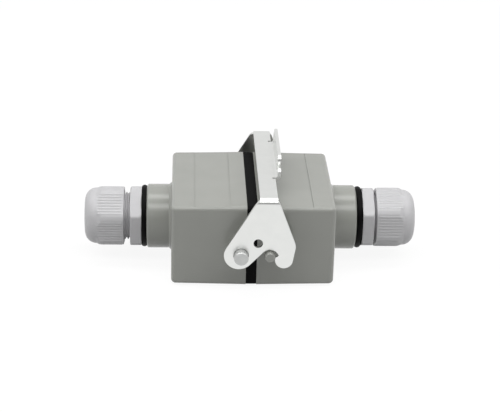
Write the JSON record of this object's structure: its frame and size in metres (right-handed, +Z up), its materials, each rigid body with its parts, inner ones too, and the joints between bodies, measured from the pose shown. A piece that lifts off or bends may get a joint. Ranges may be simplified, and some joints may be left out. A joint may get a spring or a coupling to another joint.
{
  "type": "heavy duty rectangular connector",
  "caption": "Rectangular multipole connector pair clamped on a gasket by a U-shaped locking lever, with a ribbed cable gland on a round neck at each end.",
  "frame": {"origin": "under the middle of the whole connector, on the base that the two housings rest on", "axes": "+X along the cables from the lever's housing to the hood, +Y along the lever's pivot axis towards the back, +Z up"},
  "size_m": [0.1682, 0.1004, 0.0596],
  "materials": {
    "grey_housing_lacquer": "satin powder-coated die casting",
    "black_gasket_rubber": "matt",
    "zinc_plated_steel": "bright zinc plated strip",
    "turned_steel": "turned",
    "insert_moulding": "moulded",
    "screw_steel": "plated",
    "plated_brass": "plated",
    "light_grey_nylon": "moulded, fine ribs",
    "o_ring_rubber": "satin",
    "seal_rubber": "matt"
  },
  "bodies": {
    "connector": {"coupler_housing": "grey_housing_lacquer", "hood_housing": "grey_housing_lacquer", "profile_gasket": "black_gasket_rubber", "front_pivot_pin": "turned_steel", "back_pivot_pin": "turned_steel", "female_insert": "insert_moulding", "male_insert": "insert_moulding", "insert_fixing_screws": "screw_steel", "terminal_screws": "screw_steel", "earth_screws": "screw_steel", "female_front_earth_strap": "plated_brass", "female_back_earth_strap": "plated_brass", "male_front_earth_strap": "plated_brass", "male_back_earth_strap": "plated_brass", "left_gland_body": "light_grey_nylon", "right_gland_body": "light_grey_nylon", "left_gland_o_ring": "o_ring_rubber", "right_gland_o_ring": "o_ring_rubber", "left_gland_seal": "seal_rubber", "right_gland_seal": "seal_rubber", "socket_contact_1": "plated_brass", "socket_contact_2": "plated_brass", "socket_contact_3": "plated_brass", "socket_contact_4": "plated_brass", "socket_contact_5": "plated_brass", "socket_contact_6": "plated_brass", "socket_contact_7": "plated_brass", "socket_contact_8": "plated_brass", "socket_contact_9": "plated_brass", "socket_contact_10": "plated_brass", "pin_contact_1": "plated_brass", "pin_contact_2": "plated_brass", "pin_contact_3": "plated_brass", "pin_contact_4": "plated_brass", "pin_contact_5": "plated_brass", "pin_contact_6": "plated_brass", "pin_contact_7": "plated_brass", "pin_contact_8": "plated_brass", "pin_contact_9": "plated_brass", "pin_contact_10": "plated_brass"},
    "lever": {"locking_lever": "zinc_plated_steel"},
    "left_nut": {"left_gland_nut": "light_grey_nylon"},
    "right_nut": {"right_gland_nut": "light_grey_nylon"}
  },
  "joints": [
    {"name": "lever_pivot", "type": "hinge", "parent": "connector", "child": "lever", "pos_m": [-0.0058, 0, 0.0215], "axis": [0, -1, 0], "range_deg": [0, 55]},
    {"name": "left_nut_turn", "type": "hinge", "parent": "connector", "child": "left_nut", "pos_m": [-0.07255, 0, 0.0215], "axis": [-1, 0, 0], "continuous": true},
    {"name": "right_nut_turn", "type": "hinge", "parent": "connector", "child": "right_nut", "pos_m": [0.0736, 0, 0.0215], "axis": [1, 0, 0], "continuous": true}
  ]
}
